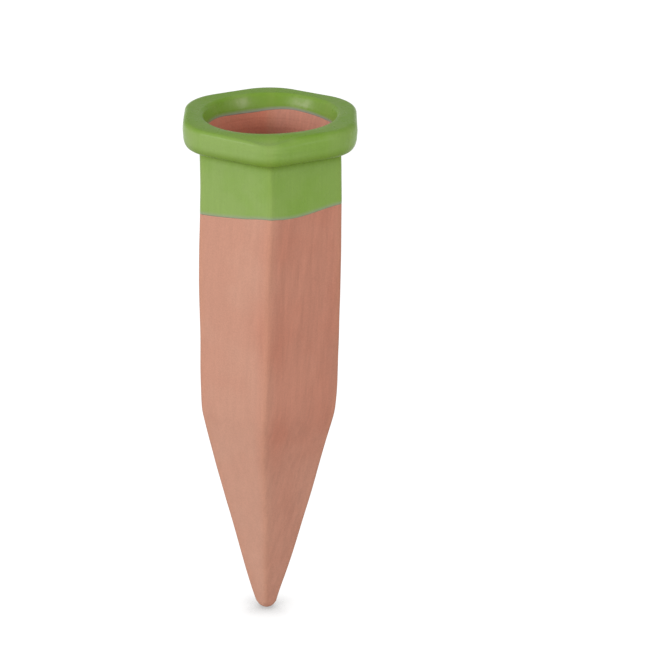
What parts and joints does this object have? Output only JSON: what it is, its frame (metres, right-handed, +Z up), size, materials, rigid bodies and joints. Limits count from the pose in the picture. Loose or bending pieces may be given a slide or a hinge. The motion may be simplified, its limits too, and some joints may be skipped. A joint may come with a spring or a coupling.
{
  "type": "self watering spike",
  "caption": "Hollow six-sided terracotta watering stake with a wide mouth, a soft-cornered collar dipped in green glaze and a bare pointed end for pushing into potting soil.",
  "frame": {"origin": "on the stake's axis, level with the glazed underside of the collar, which is where the spike stops in the soil; this point is on the axis of the straight throat, inside its wall's span", "axes": "+Z up along the axis, from the point towards the mouth; -Y towards one corner of the six-sided body, +X square to one of its flats"},
  "size_m": [0.0598, 0.0636, 0.19],
  "materials": {
    "terracotta": "matt unglazed earthenware, fine sponge and sanding streaks",
    "green_glaze": "satin leaf-green dip glaze"
  },
  "bodies": {
    "root": {"terracotta_body": "terracotta", "green_glaze": "green_glaze"}
  },
  "joints": []
}
